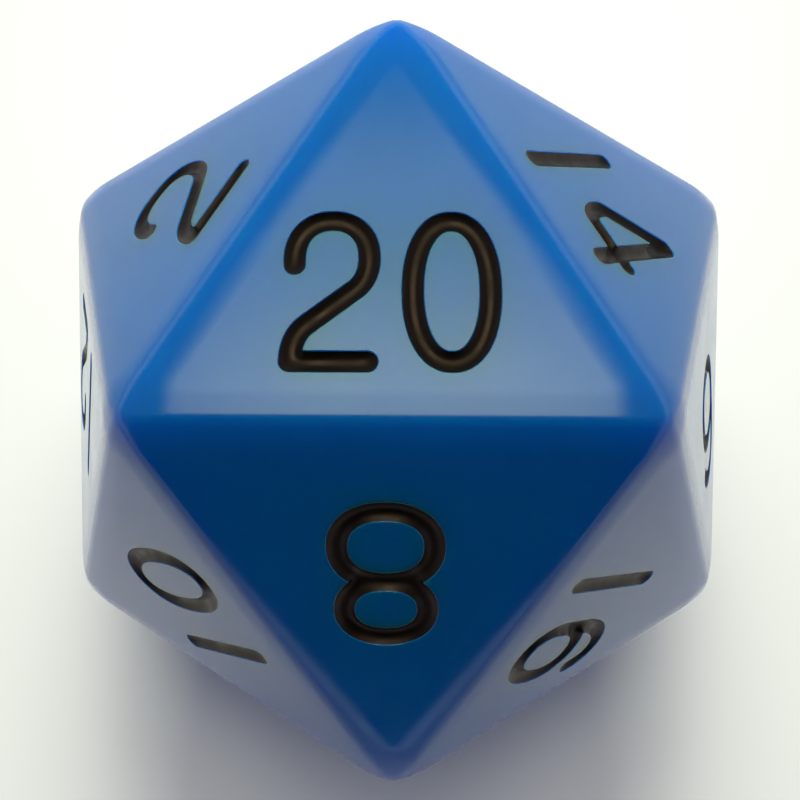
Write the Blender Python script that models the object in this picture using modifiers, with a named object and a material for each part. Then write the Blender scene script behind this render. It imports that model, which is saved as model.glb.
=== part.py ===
"""Twenty-sided die: a solid icosahedron with rounded edges and engraved, ink-filled numerals.

It rests on face 1 with face 20 on top. The origin is the middle of the face it rests on.
"""
import itertools
import math

import bmesh
import bpy
from mathutils import Matrix, Vector

MM = 0.001

# Driving dimensions
FACE_TO_FACE = 35.0 * MM          # across two opposite faces
EDGE_RADIUS = 2.4 * MM            # rounding of every edge
EDGE_SEGMENTS = 4                 # facets across a rounded edge

DIGIT_HEIGHT = 6.45 * MM          # along the middle of the strokes
SINGLE_WIDTH = 4.25 * MM          # of a digit that stands alone
PAIR_WIDTH = 3.3 * MM             # of each digit of a two-digit numeral
PAIR_PITCH = 5.1 * MM             # between the middles of two digits
TEENS_PITCH = 4.7 * MM            # the same where the first digit is a slim 1
SINGLE_RISE = 0.5 * MM            # of a lone digit above the middle of its face
PAIR_DROP = 0.6 * MM              # of two digits below the middle of their face
STROKE_WIDTH = 0.91 * MM
GROOVE_DEPTH = 0.5 * MM
INK_GAP = 0.05 * MM               # between the ink and its groove
INK_RECESS = 0.15 * MM            # of the ink's surface below the face
CUTTER_OVERSHOOT = 0.5 * MM       # of a cutter above the face

ARC_STEP = 24.0                   # degrees between the points of a curved stroke
END_SEGMENTS = 4                  # facets round the end of a stroke
SQUARENESS = 2.2                  # exponent of the rounded strokes: 2 is an ellipse

# A regular icosahedron's distances for an edge of 1
IN_RADIUS = (3.0 + math.sqrt(5.0)) * math.sqrt(3.0) / 12.0
EDGE = FACE_TO_FACE / 2.0 / IN_RADIUS
DIHEDRAL = math.acos(-math.sqrt(5.0) / 3.0)

# Each numeral stands on the side that its face shares with an earlier numeral's face.
# Sides are seen from outside with the earlier numeral upright.
LAYOUT = {
    2: (20, "left"), 14: (20, "right"), 8: (20, "base"),
    16: (8, "left"), 10: (8, "right"),
    12: (2, "left"), 18: (2, "right"),
    4: (14, "left"), 6: (14, "right"),
    3: (16, "right"), 17: (10, "left"),
    9: (6, "left"), 15: (12, "right"),
    11: (4, "right"), 5: (18, "left"),
    19: (3, "left"), 7: (17, "right"),
    13: (11, "left"), 1: (19, "right"),
}

# How far some numerals sit from where the rule puts them, as hand-cut moulds do: (right, up)
NUDGES = {
    20: (-0.1 * MM, -0.3 * MM), 14: (-0.15 * MM, 0.0), 10: (-0.35 * MM, 0.2 * MM),
    16: (0.2 * MM, -0.3 * MM), 8: (0.3 * MM, 0.3 * MM), 2: (-0.1 * MM, -0.25 * MM),
    6: (-0.2 * MM, 0.75 * MM),
}


def clear_scene():
    for item in list(bpy.data.objects):
        bpy.data.objects.remove(item, do_unlink=True)


def new_collection(name):
    collection = bpy.data.collections.new(name)
    bpy.context.scene.collection.children.link(collection)
    return collection


def plastic(name, colour, roughness):
    material = bpy.data.materials.new(name)
    material.use_nodes = True
    shader = material.node_tree.nodes["Principled BSDF"]
    shader.inputs["Base Color"].default_value = (*colour, 1.0)
    shader.inputs["Roughness"].default_value = roughness
    shader.inputs["Metallic"].default_value = 0.0
    return material


# ---------------------------------------------------------------- strokes of the digits
# A digit is drawn in a square from -1 to 1 both ways. A stroke is (closed, points).

def arc(centre, radii, start, end):
    """Points along a rounded curve between two angles in degrees, both ends included."""
    count = max(2, math.ceil(abs(end - start) / ARC_STEP)) + 1
    points = []
    for index in range(count):
        angle = math.radians(start + (end - start) * index / (count - 1))
        across = math.copysign(abs(math.cos(angle)) ** (2.0 / SQUARENESS), math.cos(angle))
        along = math.copysign(abs(math.sin(angle)) ** (2.0 / SQUARENESS), math.sin(angle))
        points.append((centre[0] + radii[0] * across, centre[1] + radii[1] * along))
    return points


def ring(centre, radii):
    return (True, arc(centre, radii, 0.0, 360.0)[:-1])


def line(*points):
    return (False, list(points))


def curve(*pieces):
    return (False, [point for piece in pieces for point in piece])


def turned(strokes):
    """The same strokes after half a turn."""
    return [(closed, [(-u, -v) for u, v in points]) for closed, points in strokes]


def digit_strokes(digit):
    six = [
        ring((0.0, -0.36), (1.0, 0.64)),
        curve(arc((0.08, -0.02), (1.08, 1.02), 195.0, 42.0)),
    ]
    return {
        "0": [ring((0.0, 0.0), (1.0, 1.0))],
        "1": [line((0.0, -1.0), (0.0, 1.0))],
        "2": [
            curve(arc((0.0, 0.45), (0.97, 0.55), 188.0, -50.0),
                  arc((-0.05, -1.0), (0.95, 0.6), 122.0, 180.0)),
            line((-1.0, -1.0), (0.95, -1.0)),
        ],
        "3": [
            curve(arc((-0.05, 0.52), (0.95, 0.48), 160.0, -90.0)),
            curve(arc((-0.05, -0.48), (1.05, 0.52), 90.0, -160.0)),
        ],
        "4": [
            curve([(0.5, 1.0)], arc((-0.6, -0.17), (0.4, 0.34), 165.0, 270.0), [(1.05, -0.51)]),
            line((0.6, 1.0), (0.6, -1.0)),
        ],
        "5": [
            line((0.85, 1.0), (-0.72, 1.0)),
            line((-0.72, 1.0), (-0.82, 0.06)),
            curve(arc((-0.03, -0.35), (1.03, 0.65), 140.0, -155.0)),
        ],
        "6": six,
        "7": [
            line((-0.95, 1.0), (0.95, 1.0)),
            line((0.95, 1.0), (-0.35, -1.0)),
        ],
        "8": [
            ring((0.0, 0.55), (0.87, 0.45)),
            ring((0.0, -0.45), (1.0, 0.55)),
        ],
        "9": turned(six),
    }[digit]


def round_end(centre, start, radius):
    """Points round the end of a stroke, half a circle clockwise from the angle given."""
    points = []
    for index in range(1, END_SEGMENTS):
        angle = start - math.pi * index / END_SEGMENTS
        points.append(centre + radius * Vector((math.cos(angle), math.sin(angle))))
    return points


def stroke_outlines(closed, points, radius):
    """The closed outlines of a round pen drawn along the points."""
    count = len(points)
    left, right = [], []
    for index, point in enumerate(points):
        before = points[(index - 1) % count] if closed or index > 0 else None
        after = points[(index + 1) % count] if closed or index < count - 1 else None
        arriving = (point - before).normalized() if before is not None else None
        leaving = (after - point).normalized() if after is not None else None
        arriving = arriving if arriving is not None else leaving
        leaving = leaving if leaving is not None else arriving
        along = (arriving + leaving).normalized()
        sideways = Vector((-along.y, along.x)) * radius / along.dot(arriving)
        left.append(point + sideways)
        right.append(point - sideways)
    if closed:
        return [left, right[::-1]]
    first, last = points[1] - points[0], points[-1] - points[-2]
    head = round_end(points[-1], math.atan2(last.y, last.x) + math.pi / 2.0, radius)
    tail = round_end(points[0], math.atan2(first.y, first.x) - math.pi / 2.0, radius)
    return [left + head + right[::-1] + tail]


# ---------------------------------------------------------------- solids from strokes

def curve_to_mesh(item, collection):
    """Replace a curve object by a mesh object with welded caps."""
    graph = bpy.context.evaluated_depsgraph_get()
    mesh = bpy.data.meshes.new_from_object(item.evaluated_get(graph))
    shape = bmesh.new()
    shape.from_mesh(mesh)
    bmesh.ops.remove_doubles(shape, verts=shape.verts, dist=1e-7)
    bmesh.ops.recalc_face_normals(shape, faces=shape.faces)
    shape.to_mesh(mesh)
    shape.free()
    solid = bpy.data.objects.new(item.name, mesh)
    solid.matrix_world = item.matrix_world
    collection.objects.link(solid)
    bpy.data.objects.remove(item, do_unlink=True)
    return solid


def stroke_solid(name, outlines, low, high, collection):
    """A flat outline made solid between two heights."""
    data = bpy.data.curves.new(name, "CURVE")
    data.dimensions = "2D"
    data.fill_mode = "BOTH"
    data.extrude = (high - low) / 2.0
    for outline in outlines:
        spline = data.splines.new("POLY")
        spline.points.add(len(outline) - 1)
        spline.use_cyclic_u = True
        for target, point in zip(spline.points, outline):
            target.co = (point.x, point.y, 0.0, 1.0)
    item = bpy.data.objects.new(name, data)
    item.location.z = (high + low) / 2.0
    collection.objects.link(item)
    bpy.context.view_layer.update()
    return curve_to_mesh(item, collection)


def evaluated_mesh(item, name):
    bpy.context.view_layer.update()
    graph = bpy.context.evaluated_depsgraph_get()
    mesh = bpy.data.meshes.new_from_object(item.evaluated_get(graph))
    mesh.transform(item.matrix_world)
    mesh.name = name
    return mesh


def digit_mesh(digit, width, radius, low, high, collection):
    """The mesh of one digit drawn by a round pen, all its strokes joined into one body."""
    solids = []
    for number, (closed, points) in enumerate(digit_strokes(digit)):
        scaled = [Vector((u * width / 2.0, v * DIGIT_HEIGHT / 2.0)) for u, v in points]
        outlines = stroke_outlines(closed, scaled, radius)
        solids.append(stroke_solid(f"stroke_{digit}_{number}", outlines, low, high, collection))
    first = solids[0]
    for other in solids[1:]:
        joining = first.modifiers.new("join", "BOOLEAN")
        joining.operation = "UNION"
        joining.object = other
    mesh = evaluated_mesh(first, f"digit_{digit}")
    for solid in solids:
        bpy.data.objects.remove(solid, do_unlink=True)
    return mesh


# ---------------------------------------------------------------- the icosahedron and its faces

class Face:
    """A face of the die, seen from outside with its numeral upright."""

    def __init__(self, top, left, right):
        self.top, self.left, self.right = top, left, right

    def frame(self):
        """The matrix from the face's plane, x right and y up, to the die."""
        middle = (self.top + self.left + self.right) / 3.0
        outward = middle.normalized()
        upward = (self.top - middle).normalized()
        axes = Matrix((upward.cross(outward), upward, outward)).transposed()
        return Matrix.Translation(middle) @ axes.to_4x4()


def neighbour(face, side, corners):
    """The face across one side, upright on that side."""
    start, end = {
        "left": (face.top, face.left),
        "right": (face.right, face.top),
        "base": (face.left, face.right),
    }[side]
    inner = {"left": face.right, "right": face.left, "base": face.top}[side]
    reach = 1.1 * EDGE
    far = [c for c in corners
           if (c - start).length < reach and (c - end).length < reach
           and (c - start).length > 0.1 * EDGE and (c - end).length > 0.1 * EDGE
           and (c - inner).length > 0.1 * EDGE]
    return Face(far[0], end, start)


def icosahedron_mesh():
    """The sharp icosahedron about the origin, one face level on top and its apex towards +Y.

    Its corners are those of three golden rectangles at right angles to each other.
    """
    golden = (1.0 + math.sqrt(5.0)) / 2.0
    half_short, half_long = 0.5 * EDGE, 0.5 * golden * EDGE
    shape = bmesh.new()
    for a, b in itertools.product((-half_short, half_short), (-half_long, half_long)):
        for corner in ((0.0, b, a), (a, 0.0, b), (b, a, 0.0)):
            shape.verts.new(corner)
    bmesh.ops.convex_hull(shape, input=shape.verts)
    lean = math.atan2(golden, 2.0 * golden + 1.0)
    bmesh.ops.transform(shape, matrix=Matrix.Rotation(lean, 4, "X"), verts=shape.verts)
    bmesh.ops.recalc_face_normals(shape, faces=shape.faces)
    mesh = bpy.data.meshes.new("die_body")
    shape.to_mesh(mesh)
    shape.free()
    return mesh


def numbered_faces(corners):
    """Each number's face, from the face on top outwards."""
    top_corners = sorted(corners, key=lambda c: -c.z)[:3]
    apex = max(top_corners, key=lambda c: c.y)
    left, right = sorted((c for c in top_corners if c is not apex), key=lambda c: c.x)
    faces = {20: Face(apex, left, right)}
    for number, (earlier, side) in LAYOUT.items():
        faces[number] = neighbour(faces[earlier], side, corners)
    return faces


# ---------------------------------------------------------------- placing the numerals

def digit_places(number):
    """For each digit: name, digit, width and its place on the face."""
    right, up = NUDGES.get(number, (0.0, 0.0))
    digits = str(number)
    if len(digits) == 1:
        return [(f"numeral_{number}_ink", digits, SINGLE_WIDTH, (right, up + SINGLE_RISE))]
    rise = up - PAIR_DROP
    reach = (TEENS_PITCH if digits[0] == "1" else PAIR_PITCH) / 2.0
    return [
        (f"numeral_{number}_tens_ink", digits[0], PAIR_WIDTH, (right - reach, rise)),
        (f"numeral_{number}_units_ink", digits[1], PAIR_WIDTH, (right + reach, rise)),
    ]


def place(name, mesh, matrix, collection, material=None):
    item = bpy.data.objects.new(name, mesh)
    item.matrix_world = matrix
    collection.objects.link(item)
    if material is not None and not mesh.materials:
        mesh.materials.append(material)
    return item


def place_cutter(name, mesh, matrix, collection):
    cutter = place(name, mesh, matrix, collection)
    cutter.hide_render = True
    cutter.display_type = "WIRE"


def engrave(faces, centre, ink, die, cutters):
    """A cutter and an ink fill for each digit of each face."""
    pen = STROKE_WIDTH / 2.0
    groove = (-GROOVE_DEPTH, CUTTER_OVERSHOOT)
    fill = (INK_GAP - GROOVE_DEPTH, -INK_RECESS)
    meshes = {}
    for number, face in faces.items():
        for name, digit, width, (right, up) in digit_places(number):
            if (digit, width) not in meshes:
                meshes[digit, width] = (
                    digit_mesh(digit, width, pen, *groove, cutters),
                    digit_mesh(digit, width, pen - INK_GAP, *fill, cutters))
            groove_mesh, fill_mesh = meshes[digit, width]
            spot = centre @ face.frame() @ Matrix.Translation((right, up, 0.0))
            place_cutter(name.replace("_ink", "_cutter"), groove_mesh, spot, cutters)
            place(name, fill_mesh, spot, die, ink)


def main():
    clear_scene()
    die = new_collection("twenty_sided_die")
    cutters = new_collection("cutters")
    blue = plastic("blue_plastic", (0.01, 0.12, 0.42), 0.12)
    ink = plastic("black_ink", (0.012, 0.008, 0.006), 0.35)

    mesh = icosahedron_mesh()
    faces = numbered_faces([vertex.co.copy() for vertex in mesh.vertices])
    centre = Matrix.Translation((0.0, 0.0, FACE_TO_FACE / 2.0))
    body = place("die_body", mesh, centre, die, blue)
    engrave(faces, centre, ink, die, cutters)

    rounding = body.modifiers.new("rounded_edges", "BEVEL")
    rounding.offset_type = "OFFSET"
    rounding.width = EDGE_RADIUS / math.tan(DIHEDRAL / 2.0)
    rounding.segments = EDGE_SEGMENTS
    rounding.limit_method = "NONE"
    engraving = body.modifiers.new("engraved_numerals", "BOOLEAN")
    engraving.operation = "DIFFERENCE"
    engraving.operand_type = "COLLECTION"
    engraving.collection = cutters


main()
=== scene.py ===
"""Looks of the twenty-sided die: a polished blue body with rounded edges and numerals whose
grooves hold dark, sunken ink. Everything is built in millimetres and scaled to metres."""
import math

import bmesh
import bpy
import numpy as np
from mathutils import Matrix, Vector
from mathutils.geometry import delaunay_2d_cdt


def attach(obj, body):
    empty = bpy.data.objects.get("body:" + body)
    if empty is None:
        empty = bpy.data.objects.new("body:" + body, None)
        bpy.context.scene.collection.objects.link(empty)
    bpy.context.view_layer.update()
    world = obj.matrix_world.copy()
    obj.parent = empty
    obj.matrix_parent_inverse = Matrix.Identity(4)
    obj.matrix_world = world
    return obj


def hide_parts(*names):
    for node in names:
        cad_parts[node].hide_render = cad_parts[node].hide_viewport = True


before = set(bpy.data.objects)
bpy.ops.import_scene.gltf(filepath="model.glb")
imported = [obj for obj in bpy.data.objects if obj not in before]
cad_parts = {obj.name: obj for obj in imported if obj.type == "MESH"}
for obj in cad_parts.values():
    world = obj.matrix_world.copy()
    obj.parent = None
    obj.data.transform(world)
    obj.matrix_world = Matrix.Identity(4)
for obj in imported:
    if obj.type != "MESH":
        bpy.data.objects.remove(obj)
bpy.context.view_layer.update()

# ---------------------------------------------------------------- sizes, in millimetres
MM = 0.001
FACE_TO_FACE = 35.0
EDGE_RADII = (0.8, 4.0)           # an edge is the mean of two roundings
DIGIT_HEIGHT = 6.45
SINGLE_WIDTH = 4.25
PAIR_WIDTH = 3.3
PAIR_PITCH = 5.1                  # between the digits of 20
TEENS_PITCH = 4.7                 # between those of 10 to 19
SINGLE_RISE = 0.5                 # a lone digit's middle above the face's middle
PAIR_DROP = 0.6                   # two digits' middle below it
PEN = 0.455                       # half the width of a groove
GROOVE_DEPTH = 0.5
LIP = 0.05                        # radius of the softened lip of a groove
DRAFT = 0.02                      # how far a groove's wall leans in
INK_EDGE = 0.055                  # depth at which the ink meets the wall
INK_SAG = 0.24                    # how much deeper it is in the middle of a stroke
INK_RIM = PEN + 0.004             # half the width of the ink, which reaches just into the wall
INK_BOTTOM = GROOVE_DEPTH - 0.01
INK_LOWEST_TOP = GROOVE_DEPTH - 0.06
ARC_STEP = 7.0                    # degrees between the points of a curved stroke
SQUARENESS = 2.2                  # of the curves: 2 is an ellipse

IN_RADIUS = (3.0 + math.sqrt(5.0)) * math.sqrt(3.0) / 12.0   # of an icosahedron with edge 1
EDGE = FACE_TO_FACE / 2.0 / IN_RADIUS
IN_DISTANCE = FACE_TO_FACE / 2.0                # from the die's middle to its faces
SIDE_DISTANCE = EDGE / (2.0 * math.sqrt(3.0))   # from a face's middle to its sides
GOLDEN = (1.0 + math.sqrt(5.0)) / 2.0
LEAN = Matrix.Rotation(math.atan2(GOLDEN, 2.0 * GOLDEN + 1.0), 3, "X")   # lays it on a face

# ---------------------------------------------------------------- fineness of the meshes
GRID_STEP = 0.07                  # of the grid on which contours are found
BODY_SPACING = 0.14               # between the points around a groove
INK_SPACING = 0.13
INK_CONTOURS = (INK_RIM, 0.36, 0.28, 0.19, 0.1)
LIP_ANGLES = (67.5, 45.0, 22.5)
BEYOND_LIP = 0.04                 # from a groove's lip to the contour around it
BEYOND_WALL = 0.03                # from the foot of its wall to the contour on its floor
# rings along the rounded border of a face: their distance from its sides, in widths of the border
EDGE_RINGS = (0.0, 0.04, 0.08, 0.12, 0.16, 0.2, 0.27, 0.36, 0.47,
              0.58, 0.69, 0.8, 0.9, 1.0, 1.08)
SIDE_STEPS = 40                   # points along a side of such a ring
MERGE_DISTANCE = 1e-3             # joins the faces along the edges of the die
HALVINGS = 34                     # of the search for the rounded surface

# ---------------------------------------------------------------- looks
BLUES = (0.0008, 0.065, 0.268, 1.0), (0.0013, 0.078, 0.304, 1.0)
SMEAR_GLOSS = (0.07, 0.15)        # roughness, from the most polished to the least
GLOW_RADIUS, GLOW_SCALE = (0.03, 0.2, 1.0), 0.011    # how far red, green and blue light wander
INKS = (0.0009, 0.0005, 0.0003, 1.0), (0.0045, 0.0024, 0.0015, 1.0)
INK_GLOSS = (0.33, 0.52)
INK_SHEEN = (1.0, 0.68, 0.56, 1.0)
# heights of the relief, in metres
WAVES, PEEL, SCRATCHES, LUMPS = 0.00003, 0.0000012, 0.0000006, 0.000012

# ---------------------------------------------------------------- light and camera
FLOOR_REACH = 3                   # metres
FLOOR_COLOUR = (0.69, 0.65, 0.79, 1.0)
# the soft box and its weaker far end, in degrees from overhead towards +Y and sideways: between
# which it brightens, and between which it fades
BOX_TILT = ((-9.0, 1.0), (13.0, 28.0))
BOX_END_TILT = ((10.0, 20.0), (29.0, 37.0))
BOX_ASIDE = ((-24.0, -4.0), (5.0, 25.0))
BOX_STRENGTH, BOX_END_STRENGTH = 4.2, 2.3
BOX_COLOUR = (0.96, 1.01, 0.70)
# the dark where the photographer stands: the same, and how far to either side it fades
DARK_TILT = ((-9.0, -17.0), (-84.5, -88.0))
DARK_ASIDE = (30.0, 55.0)
# the room, brighter near the horizon: degrees above it, and strengths there
ROOM_RISE, ROOM_STRENGTH = (9.0, 27.0), (0.9, 0.2)
ROOM_COLOUR = (0.78, 0.92, 1.16)
LAMP_AIM = (0.0, 0.0, 0.02)
# name, place and size in metres, power in watts, colour
LAMPS = (
    ("key_lamp", (0.0, 0.40, 0.43), 0.30, 2.9, (0.95, 1.04, 0.71)),
    ("near_lamp", (0.0, 0.042, 0.078), 0.040, 0.038, (0.95, 1.05, 0.71)),
)
DIE_FROM_CAMERA = (-0.014, 0.020, -5.2)   # in half edges, along the camera's own axes
CAMERA_TURN = (3.33, -0.42, -0.31)        # degrees away from facing the edge of 20 and 8
CAMERA_FOCUS = 1024.0                     # focal length in pixels
PICTURE_SIZE = 800.0                      # pixels
SENSOR = 36.0                             # millimetres
NEAR_CLIP = 0.001                         # metres

# ---------------------------------------------------------------- the numerals' places
# each numeral's face lies across a side of an earlier one
LAYOUT = {
    2: (20, "left"), 14: (20, "right"), 8: (20, "base"),
    16: (8, "left"), 10: (8, "right"),
    12: (2, "left"), 18: (2, "right"),
    4: (14, "left"), 6: (14, "right"),
    3: (16, "right"), 17: (10, "left"),
    9: (6, "left"), 15: (12, "right"),
    11: (4, "right"), 5: (18, "left"),
    19: (3, "left"), 7: (17, "right"),
    13: (11, "left"), 1: (19, "right"),
}
# small offsets, right and up, of the numerals that the photograph shows
NUDGES = {
    20: (-0.1, -0.3), 14: (-0.15, 0.0), 10: (-0.35, 0.2),
    16: (0.2, -0.3), 8: (0.3, 0.3), 2: (-0.1, -0.25), 6: (-0.2, 0.75),
}


# ---------------------------------------------------------------- strokes of the digits

def arc(centre, radii, start, end):
    """Points along a slightly squared ellipse between two angles in degrees."""
    count = max(2, math.ceil(abs(end - start) / ARC_STEP)) + 1
    points = []
    for index in range(count):
        angle = math.radians(start + (end - start) * index / (count - 1))
        across = math.copysign(abs(math.cos(angle)) ** (2.0 / SQUARENESS), math.cos(angle))
        along = math.copysign(abs(math.sin(angle)) ** (2.0 / SQUARENESS), math.sin(angle))
        points.append((centre[0] + radii[0] * across, centre[1] + radii[1] * along))
    return points


def ring(centre, radii):
    points = arc(centre, radii, 0.0, 360.0)
    return points[:-1] + points[:1]


def turned(strokes):
    return [[(-u, -v) for u, v in points] for points in strokes]


SIX = [ring((0.0, -0.36), (1.0, 0.64)), arc((0.08, -0.02), (1.08, 1.02), 195.0, 42.0)]
DIGITS = {
    "0": [ring((0.0, 0.0), (1.0, 1.0))],
    "1": [[(0.0, -1.0), (0.0, 1.0)]],
    "2": [
        arc((0.0, 0.45), (0.97, 0.55), 188.0, -50.0)
        + arc((-0.05, -1.0), (0.95, 0.6), 122.0, 180.0),
        [(-1.0, -1.0), (0.95, -1.0)],
    ],
    "3": [
        arc((-0.05, 0.52), (0.95, 0.48), 160.0, -90.0),
        arc((-0.05, -0.48), (1.05, 0.52), 90.0, -160.0),
    ],
    "4": [
        [(0.5, 1.0)] + arc((-0.6, -0.17), (0.4, 0.34), 165.0, 270.0) + [(1.05, -0.51)],
        [(0.6, 1.0), (0.6, -1.0)],
    ],
    "5": [
        [(0.85, 1.0), (-0.72, 1.0), (-0.82, 0.06)],
        arc((-0.03, -0.35), (1.03, 0.65), 140.0, -155.0),
    ],
    "6": SIX,
    "7": [[(-0.95, 1.0), (0.95, 1.0), (-0.35, -1.0)]],
    "8": [ring((0.0, 0.55), (0.87, 0.45)), ring((0.0, -0.45), (1.0, 0.55))],
    "9": turned(SIX),
}


def numeral_parts(number):
    """For each digit of a number: its CAD node and its stroke segments on the face."""
    right, up = NUDGES.get(number, (0.0, 0.0))
    digits = str(number)
    if len(digits) == 1:
        places = [(f"numeral_{number}_ink", digits, SINGLE_WIDTH, right, up + SINGLE_RISE)]
    else:
        reach = (TEENS_PITCH if digits[0] == "1" else PAIR_PITCH) / 2.0
        places = [
            (f"numeral_{number}_tens_ink", digits[0], PAIR_WIDTH, right - reach, up - PAIR_DROP),
            (f"numeral_{number}_units_ink", digits[1], PAIR_WIDTH, right + reach, up - PAIR_DROP),
        ]
    parts = []
    for name, digit, width, x, y in places:
        segments = []
        for points in DIGITS[digit]:
            spots = [(x + u * width / 2.0, y + v * DIGIT_HEIGHT / 2.0) for u, v in points]
            segments += [(*a, *b) for a, b in zip(spots, spots[1:])]
        parts.append((name, np.array(segments)))
    return parts


# ---------------------------------------------------------------- the faces of the die

class Face:
    """A face's three corners, named as they lie when its numeral is upright."""

    def __init__(self, top, left, right):
        self.top, self.left, self.right = top, left, right

    def axes(self):
        """Right, up and outward of the face, seen with its numeral upright."""
        middle = (self.top + self.left + self.right) / 3.0
        outward = middle.normalized()
        upward = (self.top - middle).normalized()
        return np.array([tuple(v) for v in (upward.cross(outward), upward, outward)])


def neighbour(face, side, corners):
    """The face across a side, its numeral's foot towards that side."""
    start, end, inner = {
        "left": (face.top, face.left, face.right),
        "right": (face.right, face.top, face.left),
        "base": (face.left, face.right, face.top),
    }[side]
    far = [c for c in corners
           if (c - start).length < 1.1 * EDGE and (c - end).length < 1.1 * EDGE
           and min((c - other).length for other in (start, end, inner)) > 0.1 * EDGE]
    return Face(far[0], end, start)


def all_faces():
    """The twenty faces by their numbers, with the 20 uppermost."""
    corners = []
    for a in (-0.5 * EDGE, 0.5 * EDGE):
        for b in (-0.5 * EDGE * GOLDEN, 0.5 * EDGE * GOLDEN):
            corners += [LEAN @ Vector(c) for c in ((0.0, b, a), (a, 0.0, b), (b, a, 0.0))]
    top_corners = sorted(corners, key=lambda c: -c.z)[:3]
    apex = max(top_corners, key=lambda c: c.y)
    left, right = sorted((c for c in top_corners if c is not apex), key=lambda c: c.x)
    faces = {20: Face(apex, left, right)}
    for number, (earlier, side) in LAYOUT.items():
        faces[number] = neighbour(faces[earlier], side, corners)
    return faces


# ---------------------------------------------------------------- distances and contours

def nearest(points, segments):
    """Distance from each point to the nearest segment, and the nearest spot on it."""
    start, run = segments[:, :2], segments[:, 2:] - segments[:, :2]
    length = np.maximum((run * run).sum(1), 1e-12)
    best = np.full(len(points), 1e9)
    spot = np.zeros((len(points), 2))
    for a, d, squared in zip(start, run, length):
        t = np.clip(((points - a) @ d) / squared, 0.0, 1.0)
        q = a + t[:, None] * d
        away = np.hypot(*(points - q).T)
        closer = away < best
        best[closer], spot[closer] = away[closer], q[closer]
    return best, spot


def contours(field, level, origin, step):
    """Closed loops around the places where the field is under a level."""
    inside = field < level
    mixed = (inside[:-1, :-1].astype(int) + inside[1:, :-1] + inside[:-1, 1:] + inside[1:, 1:])
    links = {}
    for i, j in np.argwhere((mixed > 0) & (mixed < 4)):
        corner = [(i, j), (i + 1, j), (i + 1, j + 1), (i, j + 1)]
        entries, leaving = [], []
        for k in range(4):
            a, b = corner[k], corner[(k + 1) % 4]
            if inside[a] != inside[b]:
                (leaving if inside[a] else entries).append((k, (min(a, b), max(a, b))))
        for k, key in leaving:
            before = [e for e in entries if e[0] < k] or entries
            links[key] = before[-1][1]
    loops = []
    while links:
        key = next(iter(links))
        loop = []
        while key in links:
            a, b = key
            share = (level - field[a]) / (field[b] - field[a])
            loop.append(((a[0] + share * (b[0] - a[0])) * step + origin[0],
                         (a[1] + share * (b[1] - a[1])) * step + origin[1]))
            key = links.pop(key)
        loops.append(np.array(loop))
    return loops


def resampled(loop, spacing):
    """The same loop with evenly spaced points."""
    closed = np.vstack([loop, loop[:1]])
    reach = np.concatenate([[0.0], np.cumsum(np.hypot(*np.diff(closed, axis=0).T))])
    count = max(8, round(reach[-1] / spacing))
    at = np.linspace(0.0, reach[-1], count, endpoint=False)
    return np.stack([np.interp(at, reach, closed[:, k]) for k in (0, 1)], 1)


def level_loops(segments, levels, spacing):
    """Loops at each distance from the strokes."""
    reach = max(levels) + 3 * GRID_STEP
    low = np.minimum(segments[:, :2], segments[:, 2:]).min(0) - reach
    high = np.maximum(segments[:, :2], segments[:, 2:]).max(0) + reach
    xs, ys = (np.arange(low[k], high[k] + GRID_STEP, GRID_STEP) for k in (0, 1))
    mesh = np.stack(np.meshgrid(xs, ys, indexing="ij"), -1).reshape(-1, 2)
    field = nearest(mesh, segments)[0].reshape(len(xs), len(ys))
    loops = []
    for level in levels:
        for loop in contours(field, level, low, GRID_STEP):
            loop = resampled(loop, spacing)
            away, spot = nearest(loop, segments)
            moved = spot + (loop - spot) * (level / np.maximum(away, 1e-6))[:, None]
            near = np.hypot(*(moved - loop).T) < GRID_STEP
            loops.append(np.where(near[:, None], moved, loop))
    return loops


def triangulate(loops):
    """Points, and Delaunay triangles between them, that keep to closed loops."""
    points, edges = [], []
    for loop in loops:
        first, count = len(points), len(loop)
        points += [Vector(map(float, p)) for p in loop]
        edges += [(first + k, first + (k + 1) % count) for k in range(count)]
    spots, _, triangles, _, _, _ = delaunay_2d_cdt(points, edges, [], 1, 1e-5)
    return np.array([tuple(p) for p in spots]), [tuple(t) for t in triangles]


# ---------------------------------------------------------------- the rounded solid

# on a face about its middle, its top upward: the directions of its sides, and its corners
SIDES = [np.array([math.cos(a), math.sin(a)]) for a in map(math.radians, (-90.0, 30.0, 150.0))]
CORNERS = [2.0 * SIDE_DISTANCE * np.array([math.cos(a), math.sin(a)])
           for a in map(math.radians, (90.0, 210.0, 330.0))]


def rounded(points, radius):
    """Where rays from the die's middle through points of a sharp face leave the rounded die.

    Points, results and normals are in the face's own axes; heights are from the die's middle.
    """
    shrink = 1.0 - radius / IN_DISTANCE
    corner = [c * shrink for c in CORNERS]
    sides = np.array([(*corner[k], *corner[(k + 1) % 3]) for k in range(3)])

    def measure(t):
        """Offset from the core that the rounding surrounds, and its length."""
        flat = points * t[:, None]
        inside = np.all([flat @ s <= SIDE_DISTANCE * shrink for s in SIDES], axis=0)
        spot = nearest(flat, sides)[1]
        spot[inside] = flat[inside]
        offset = np.column_stack([flat - spot, t * IN_DISTANCE - IN_DISTANCE + radius])
        return offset, np.linalg.norm(offset, axis=1)

    # a ray leaves between 0.7 of the way, which is always inside, and the sharp face; a spot no
    # higher than the core is inside too
    low, high = np.full(len(points), 0.7), np.full(len(points), 1.0 + 1e-9)
    for _ in range(HALVINGS):
        middle = (low + high) / 2.0
        offset, away = measure(middle)
        outside = (away > radius) & (offset[:, 2] > 0.0)
        high = np.where(outside, middle, high)
        low = np.where(outside, low, middle)
    t = (low + high) / 2.0
    offset, away = measure(t)
    return np.column_stack([points * t[:, None], t * IN_DISTANCE]), offset / away[:, None]


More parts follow.
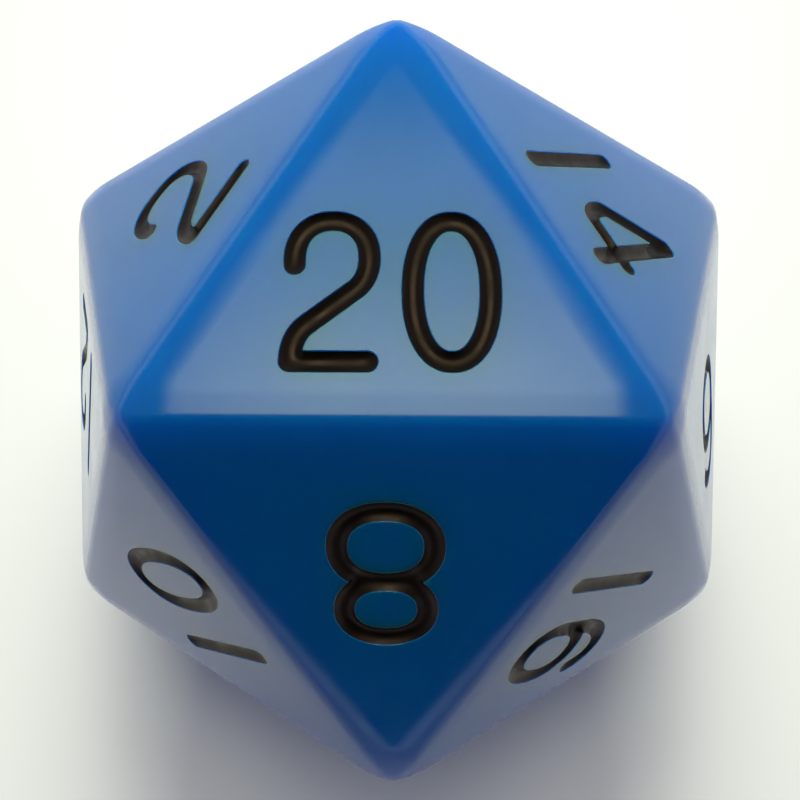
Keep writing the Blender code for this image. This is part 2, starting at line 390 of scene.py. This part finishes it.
def groove_profile(away):
    """Depth below the face and lean of the surface for a distance from the strokes."""
    depth, lean = np.zeros(len(away)), np.zeros(len(away))
    lip = (away > PEN) & (away < PEN + LIP)
    lean[lip] = np.arcsin(np.clip((PEN + LIP - away[lip]) / LIP, 0.0, 1.0))
    depth[lip] = LIP * (1.0 - np.cos(lean[lip]))
    wall = (away <= PEN) & (away >= PEN - DRAFT)
    depth[wall] = LIP + (GROOVE_DEPTH - LIP) * (PEN - away[wall]) / DRAFT
    lean[wall] = math.pi / 2.0
    depth[away < PEN - DRAFT] = GROOVE_DEPTH
    return depth, lean


def to_mesh(shape, name):
    """A mesh in metres, resting on the floor, of a shape in millimetres about the die's middle."""
    bmesh.ops.transform(
        shape, verts=shape.verts,
        matrix=Matrix.Translation((0.0, 0.0, IN_DISTANCE * MM)) @ Matrix.Scale(MM, 4))
    mesh = bpy.data.meshes.new(name)
    shape.to_mesh(mesh)
    return mesh


def body_mesh(faces):
    """The rounded die with its grooves, and normals worked out from the roundings."""
    band = max(EDGE_RADII) / IN_DISTANCE * SIDE_DISTANCE
    levels = [PEN - DRAFT - BEYOND_WALL, PEN - DRAFT, PEN]
    levels += [PEN + LIP * (1.0 - math.sin(math.radians(a))) for a in LIP_ANGLES]
    levels += [PEN + LIP, PEN + LIP + BEYOND_LIP]
    shape = bmesh.new()
    leaning = shape.verts.layers.float_vector.new("leaning")
    for number, face in faces.items():
        loops = []
        for inset in EDGE_RINGS:
            size = 1.0 - inset * band / SIDE_DISTANCE
            loops.append(np.array([
                size * (CORNERS[k] + (CORNERS[(k + 1) % 3] - CORNERS[k]) * n / SIDE_STEPS)
                for k in range(3) for n in range(SIDE_STEPS)]))
        segments = np.vstack([s for _, s in numeral_parts(number)])
        loops += level_loops(segments, levels, BODY_SPACING)
        spots, triangles = triangulate(loops)
        places, normals = np.mean([rounded(spots, radius) for radius in EDGE_RADII], axis=0)
        normals /= np.linalg.norm(normals, axis=1)[:, None]
        away, spot = nearest(spots, segments)
        depth, lean = groove_profile(away)
        inward = np.zeros((len(spots), 3))
        inward[:, :2] = (spot - spots) / np.maximum(away, 1e-6)[:, None]
        places = places - normals * depth[:, None]
        normals = normals * np.cos(lean)[:, None] + inward * np.sin(lean)[:, None]
        turn = face.axes()
        places, normals = places @ turn, normals @ turn
        corners = []
        for place, normal in zip(places, normals):
            corner = shape.verts.new(place)
            corner[leaning] = Vector(normal).normalized()
            corners.append(corner)
        for a, b, c in triangles:
            shape.faces.new((corners[a], corners[b], corners[c])).smooth = True
    bmesh.ops.remove_doubles(shape, verts=shape.verts, dist=MERGE_DISTANCE)
    mesh = to_mesh(shape, "die_moulding")
    mesh.normals_split_custom_set_from_vertices([tuple(v[leaning]) for v in shape.verts])
    shape.free()
    return mesh


# ---------------------------------------------------------------- the ink

def sunken(spots, triangles, fixed):
    """A skin stretched over the triangles, held at fixed points and pulled down evenly."""
    count = len(spots)
    stiffness, load = np.zeros((count, count)), np.zeros(count)
    for triangle in triangles:
        corner = spots[list(triangle)]
        sides = corner[[2, 0, 1]] - corner[[1, 2, 0]]
        area = abs(sides[0][0] * sides[1][1] - sides[0][1] * sides[1][0]) / 2.0
        if area < 1e-9:
            continue
        stiffness[np.ix_(triangle, triangle)] += sides @ sides.T / (4.0 * area)
        load[list(triangle)] += area / 3.0
    loose = ~fixed
    height = np.zeros(count)
    height[loose] = np.linalg.solve(stiffness[np.ix_(loose, loose)], load[loose])
    return height


def ink_mesh(name, face, segments):
    """A closed deposit of ink that fills one digit's groove and sags in the middle."""
    loops = level_loops(segments, INK_CONTOURS, INK_SPACING)
    spots, triangles = triangulate(loops)
    away = nearest(spots, segments)[0]
    middles = np.array([spots[list(t)].mean(0) for t in triangles])
    kept = nearest(middles, segments)[0] < INK_RIM
    triangles = [t for t, keep in zip(triangles, kept) if keep]
    height = sunken(spots, triangles, away > INK_RIM - 1e-3)
    depth = INK_EDGE + INK_SAG * height / (PEN * PEN / 2.0)
    depth = np.minimum(depth, INK_LOWEST_TOP)

    # a dictionary keeps the order, so that the mesh is the same each time
    sides = dict.fromkeys(side for a, b, c in triangles for side in ((a, b), (b, c), (c, a)))
    border = [side for side in sides if (side[1], side[0]) not in sides]

    turn = face.axes()
    shape = bmesh.new()

    def corners(depths):
        flat = np.column_stack([spots, IN_DISTANCE - depths]) @ turn
        return [shape.verts.new(p) for p in flat]

    top, bottom = corners(depth), corners(np.full(len(spots), INK_BOTTOM))
    for a, b, c in triangles:
        shape.faces.new((top[a], top[b], top[c])).smooth = True
        shape.faces.new((bottom[c], bottom[b], bottom[a])).smooth = True
    for a, b in border:
        shape.faces.new((top[b], top[a], bottom[a], bottom[b])).smooth = True
        shape.edges.get((top[a], top[b])).smooth = False
        shape.edges.get((bottom[a], bottom[b])).smooth = False
    loose = [v for v in shape.verts if not v.link_faces]
    bmesh.ops.delete(shape, geom=loose, context="VERTS")
    mesh = to_mesh(shape, name)
    shape.free()
    return mesh


# ---------------------------------------------------------------- materials

class Nodes:
    """A new material and a short way to add and join its nodes."""

    def __init__(self, name):
        self.material = bpy.data.materials.new(name)
        self.material.use_nodes = True
        self.tree = self.material.node_tree
        self.shader = self.tree.nodes["Principled BSDF"]

    def set(self, **values):
        """Set inputs of the shader; an underscore stands for a space."""
        for key, value in values.items():
            self.shader.inputs[key.replace("_", " ")].default_value = value

    def add(self, kind, **settings):
        """A new node with these settings and input values."""
        node = self.tree.nodes.new(kind)
        for key, value in settings.items():
            if hasattr(node, key):
                setattr(node, key, value)
            else:
                node.inputs[key.replace("_", " ")].default_value = value
        return node

    def join(self, source, target):
        self.tree.links.new(source, target)

    def noise(self, place, scale, detail=2.0, roughness=0.5, distortion=0.0):
        node = self.add("ShaderNodeTexNoise", Scale=scale, Detail=detail,
                        Roughness=roughness, Distortion=distortion)
        self.join(place, node.inputs["Vector"])
        return node.outputs["Fac"]

    def spread(self, value, low, high, start=0.3, end=0.7):
        """Map a value between start and end to one between low and high."""
        node = self.add("ShaderNodeMapRange",
                        From_Min=start, From_Max=end, To_Min=low, To_Max=high)
        self.join(value, node.inputs["Value"])
        return node.outputs["Result"]

    def mottle(self, share, first, second):
        """Give the shader a base colour between two others."""
        blend = self.add("ShaderNodeMix", data_type="RGBA")
        self.join(share, blend.inputs[0])
        blend.inputs[6].default_value = first
        blend.inputs[7].default_value = second
        self.join(blend.outputs[2], self.shader.inputs["Base Color"])

    def bump(self, height, distance, after=None):
        node = self.add("ShaderNodeBump", Strength=1.0, Distance=distance)
        self.join(height, node.inputs["Height"])
        if after is not None:
            self.join(after, node.inputs["Normal"])
        return node.outputs["Normal"]


def blue_plastic():
    """Tumbled translucent plastic: smeared gloss, faint waves, orange peel and hair scratches."""
    make = Nodes("polished_blue_plastic")
    place = make.add("ShaderNodeTexCoord").outputs["Object"]
    make.mottle(make.noise(place, 130.0, detail=3.0, roughness=0.55, distortion=0.6), *BLUES)
    smears = make.noise(place, 240.0, detail=4.0, roughness=0.6, distortion=1.2)
    make.join(make.spread(smears, *SMEAR_GLOSS), make.shader.inputs["Roughness"])
    make.set(IOR=1.46, Subsurface_Weight=0.85, Subsurface_Radius=GLOW_RADIUS,
             Subsurface_Scale=GLOW_SCALE)

    waves = make.bump(make.noise(place, 110.0, detail=1.0, roughness=0.4), WAVES)
    peel = make.bump(make.noise(place, 900.0), PEEL, after=waves)
    stretch = make.add("ShaderNodeMapping", Rotation=(0.4, 0.9, 0.6), Scale=(6000.0, 120.0, 120.0))
    make.join(place, stretch.inputs["Vector"])
    hairs = make.noise(stretch.outputs["Vector"], 1.0, roughness=0.6)
    hairs = make.spread(hairs, 0.0, 1.0, start=0.66, end=0.74)
    scratches = make.bump(hairs, SCRATCHES, after=peel)
    make.join(scratches, make.shader.inputs["Normal"])
    return make.material


def numeral_ink():
    """Set brown-black ink with a broken sheen and small lumps."""
    make = Nodes("sunken_black_ink")
    place = make.add("ShaderNodeTexCoord").outputs["Object"]
    make.mottle(make.noise(place, 700.0, detail=3.0, roughness=0.6), *INKS)
    sheen = make.spread(make.noise(place, 1100.0), *INK_GLOSS)
    make.join(sheen, make.shader.inputs["Roughness"])
    make.set(IOR=1.38, Specular_Tint=INK_SHEEN)
    lumps = make.bump(make.noise(place, 1700.0), LUMPS)
    make.join(lumps, make.shader.inputs["Normal"])
    return make.material


# ---------------------------------------------------------------- building the die

faces = all_faces()
blue, ink = blue_plastic(), numeral_ink()

body = bpy.data.objects.new("die_moulding", body_mesh(faces))
body.data.materials.append(blue)
bpy.context.scene.collection.objects.link(body)
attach(body, "root")
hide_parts("die_body")

for number, face in faces.items():
    for node, segments in numeral_parts(number):
        name = node.replace("_ink", "_paint")
        piece = bpy.data.objects.new(name, ink_mesh(name, face, segments))
        piece.data.materials.append(ink)
        bpy.context.scene.collection.objects.link(piece)
        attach(piece, "root")
        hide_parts(node)


# ---------------------------------------------------------------- floor, light and camera

def pale_floor():
    mesh = bpy.data.meshes.new("floor")
    far = FLOOR_REACH
    mesh.from_pydata([(-far, -far, 0), (far, -far, 0), (far, far, 0), (-far, far, 0)],
                     [], [(0, 1, 2, 3)])
    make = Nodes("pale_floor")
    make.set(Base_Color=FLOOR_COLOUR, Roughness=0.9)
    mesh.materials.append(make.material)
    floor = bpy.data.objects.new("floor", mesh)
    bpy.context.scene.collection.objects.link(floor)


def studio_light():
    """A pale room with a soft box overhead, dark where the photographer stands."""
    world = bpy.data.worlds.new("studio")
    bpy.context.scene.world = world
    world.use_nodes = True
    tree = world.node_tree
    background = tree.nodes["Background"]

    def math_node(operation, first, second=0.0):
        node = tree.nodes.new("ShaderNodeMath")
        node.operation = operation
        for socket, value in zip(node.inputs, (first, second)):
            if isinstance(value, (int, float)):
                socket.default_value = value
            else:
                tree.links.new(value, socket)
        return node.outputs[0]

    direction = tree.nodes.new("ShaderNodeTexCoord").outputs["Generated"]

    def along(vector):
        node = tree.nodes.new("ShaderNodeVectorMath")
        node.operation = "DOT_PRODUCT"
        tree.links.new(direction, node.inputs[0])
        node.inputs[1].default_value = vector
        return node.outputs["Value"]

    def ramp(value, start, end, low=0.0, high=1.0):
        node = tree.nodes.new("ShaderNodeMapRange")
        node.interpolation_type = "SMOOTHSTEP"
        for key, number in (("From Min", start), ("From Max", end),
                            ("To Min", low), ("To Max", high)):
            node.inputs[key].default_value = number
        tree.links.new(value, node.inputs["Value"])
        return node.outputs["Result"]

    def times(*values):
        total = values[0]
        for value in values[1:]:
            total = math_node("MULTIPLY", total, value)
        return total

    def window(value, rise, fall):
        return times(ramp(value, *rise), ramp(value, *fall, 1.0, 0.0))

    # degrees from overhead towards +Y, sideways, and above the horizon
    tilt = times(math_node("ARCTAN2", along((0, 1, 0)), along((0, 0, 1))), 180.0 / math.pi)
    aside = times(math_node("ARCSINE", along((1, 0, 0))), 180.0 / math.pi)
    rise = times(math_node("ARCSINE", along((0, 0, 1))), 180.0 / math.pi)

    strong = times(window(tilt, *BOX_TILT), BOX_STRENGTH)
    weak = times(window(tilt, *BOX_END_TILT), BOX_END_STRENGTH)
    box = times(math_node("ADD", strong, weak), window(aside, *BOX_ASIDE))
    dark = times(window(tilt, *DARK_TILT),
                 ramp(math_node("ABSOLUTE", aside), *DARK_ASIDE, 1.0, 0.0))
    room = times(ramp(rise, *ROOM_RISE, *ROOM_STRENGTH), math_node("SUBTRACT", 1.0, dark))

    def colour(strength, shade):
        node = tree.nodes.new("ShaderNodeVectorMath")
        node.operation = "SCALE"
        node.inputs[0].default_value = shade
        tree.links.new(strength, node.inputs["Scale"])
        return node.outputs[0]

    total = tree.nodes.new("ShaderNodeVectorMath")
    total.operation = "ADD"
    tree.links.new(colour(box, BOX_COLOUR), total.inputs[0])
    tree.links.new(colour(room, ROOM_COLOUR), total.inputs[1])
    tree.links.new(total.outputs[0], background.inputs["Color"])
    background.inputs["Strength"].default_value = 1.0


def soft_lamp(name, spot, size, power, shade):
    """A round lamp aimed at the die, which lights it but isn't mirrored in its polish."""
    lamp = bpy.data.lights.new(name, "AREA")
    lamp.shape = "DISK"
    lamp.size = size
    lamp.energy = power
    lamp.color = shade
    item = bpy.data.objects.new(name, lamp)
    turn = (Vector(LAMP_AIM) - Vector(spot)).to_track_quat("-Z", "Y")
    item.matrix_world = Matrix.Translation(spot) @ turn.to_matrix().to_4x4()
    item.visible_glossy = False
    bpy.context.scene.collection.objects.link(item)


def photo_camera():
    """The camera of the photograph: 17 degrees off overhead, very near the die."""
    turn = Vector(CAMERA_TURN)
    view = Matrix.Rotation(math.radians(turn.length), 3, turn.normalized())
    rotation = LEAN @ view.transposed()
    offset = Vector(DIE_FROM_CAMERA) * (EDGE / 2.0 * MM)
    camera = bpy.data.cameras.new("camera")
    camera.sensor_width = SENSOR
    camera.lens = CAMERA_FOCUS * SENSOR / PICTURE_SIZE
    camera.clip_start = NEAR_CLIP
    item = bpy.data.objects.new("camera", camera)
    place = Vector((0.0, 0.0, IN_DISTANCE * MM)) - rotation @ offset
    item.matrix_world = Matrix.Translation(place) @ rotation.to_4x4()
    bpy.context.scene.collection.objects.link(item)
    bpy.context.scene.camera = item


bpy.context.scene.view_settings.view_transform = "Standard"
pale_floor()
studio_light()
for lamp in LAMPS:
    soft_lamp(*lamp)
photo_camera()
